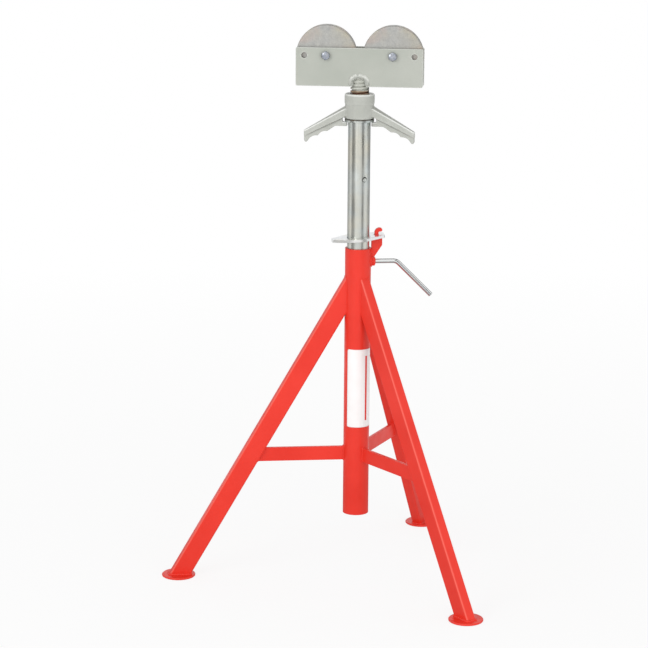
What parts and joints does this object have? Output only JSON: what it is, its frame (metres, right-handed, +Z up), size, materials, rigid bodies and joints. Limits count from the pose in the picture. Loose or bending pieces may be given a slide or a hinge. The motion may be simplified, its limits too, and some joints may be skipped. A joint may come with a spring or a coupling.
{
  "type": "pipe roller support",
  "caption": "Adjustable tripod pipe stand whose telescopic mast and screw jack carry a twin-roller head that lets a pipe lie, turn and run over it.",
  "frame": {"origin": "on the floor under the mast's axis, midway between the three feet", "axes": "+Z up along the mast, +X along the roller head, -Y towards the axle bolts' heads; the rollers turn about Y"},
  "size_m": [0.6165, 0.6323, 1.0392],
  "materials": {
    "red_paint": "gloss red enamel on welded steel",
    "bright_zinc": "bright zinc plate",
    "galvanised_tube": "galvanised drawn tube",
    "cast_nut_paint": "grey-green paint on sand-cast iron",
    "grey_paint": "grey-green paint on steel",
    "passivated_steel": "yellow-passivated zinc on turned steel",
    "bush_bronze": "plain sintered bronze"
  },
  "bodies": {
    "tripod": {"mast_tube": "red_paint", "leg_left": "red_paint", "leg_front": "red_paint", "leg_rear": "red_paint", "brace_left": "red_paint", "brace_front": "red_paint", "brace_rear": "red_paint", "foot_left": "red_paint", "foot_front": "red_paint", "foot_rear": "red_paint", "hook_plate": "red_paint", "clamp_nut": "red_paint"},
    "lock_ring": {"lock_ring": "bright_zinc"},
    "clamp_rod": {"clamp_rod": "bright_zinc"},
    "extension": {"extension_tube": "galvanised_tube", "tube_collar": "galvanised_tube"},
    "swivel": {"thrust_washer": "bright_zinc"},
    "jack_nut": {"jack_nut": "cast_nut_paint"},
    "head": {"jack_screw": "grey_paint", "head_plate_front": "grey_paint", "head_plate_rear": "grey_paint", "axle_bolt_left": "bright_zinc", "axle_bolt_right": "bright_zinc", "axle_nut_left": "bright_zinc", "axle_nut_right": "bright_zinc", "side_washers_left": "bright_zinc", "side_washers_right": "bright_zinc"},
    "roller_left": {"roller_left": "passivated_steel", "bush_left": "bush_bronze"},
    "roller_right": {"roller_right": "passivated_steel", "bush_right": "bush_bronze"}
  },
  "joints": [
    {"name": "mast_slide", "type": "slide", "parent": "tripod", "child": "extension", "axis": [0, 0, 1], "range_m": [-0.183, 0.28]},
    {"name": "lock_ring_tilt", "type": "hinge", "parent": "tripod", "child": "lock_ring", "pos_m": [0.04348, 0.00924, 0.64847], "axis": [-0.2079, 0.9781, 0], "range_deg": [0, 5]},
    {"name": "clamp_turn", "type": "hinge", "parent": "tripod", "child": "clamp_rod", "pos_m": [0.03164, 0.00673, 0.6025], "axis": [0.9781, 0.2079, 0], "range_deg": [0, 540]},
    {"name": "head_swivel", "type": "hinge", "parent": "extension", "child": "swivel", "pos_m": [0, 0, 0.8684], "axis": [0, 0, 1], "continuous": true},
    {"name": "nut_turn", "type": "hinge", "parent": "swivel", "child": "jack_nut", "pos_m": [0, 0, 0.8685], "axis": [0, 0, -1], "range_deg": [-720, 4680]},
    {"name": "head_lift", "type": "slide", "parent": "swivel", "child": "head", "axis": [0, 0, 1], "range_m": [-0.0121, 0.0781]},
    {"name": "roller_left_spin", "type": "hinge", "parent": "head", "child": "roller_left", "pos_m": [-0.061, 0, 0.9842], "axis": [0, 1, 0], "continuous": true},
    {"name": "roller_right_spin", "type": "hinge", "parent": "head", "child": "roller_right", "pos_m": [0.061, 0, 0.9842], "axis": [0, 1, 0], "continuous": true}
  ],
  "couplings": [
    {"joint": "head_lift", "follows": "nut_turn", "m_per_rad": 0.00095493}
  ]
}
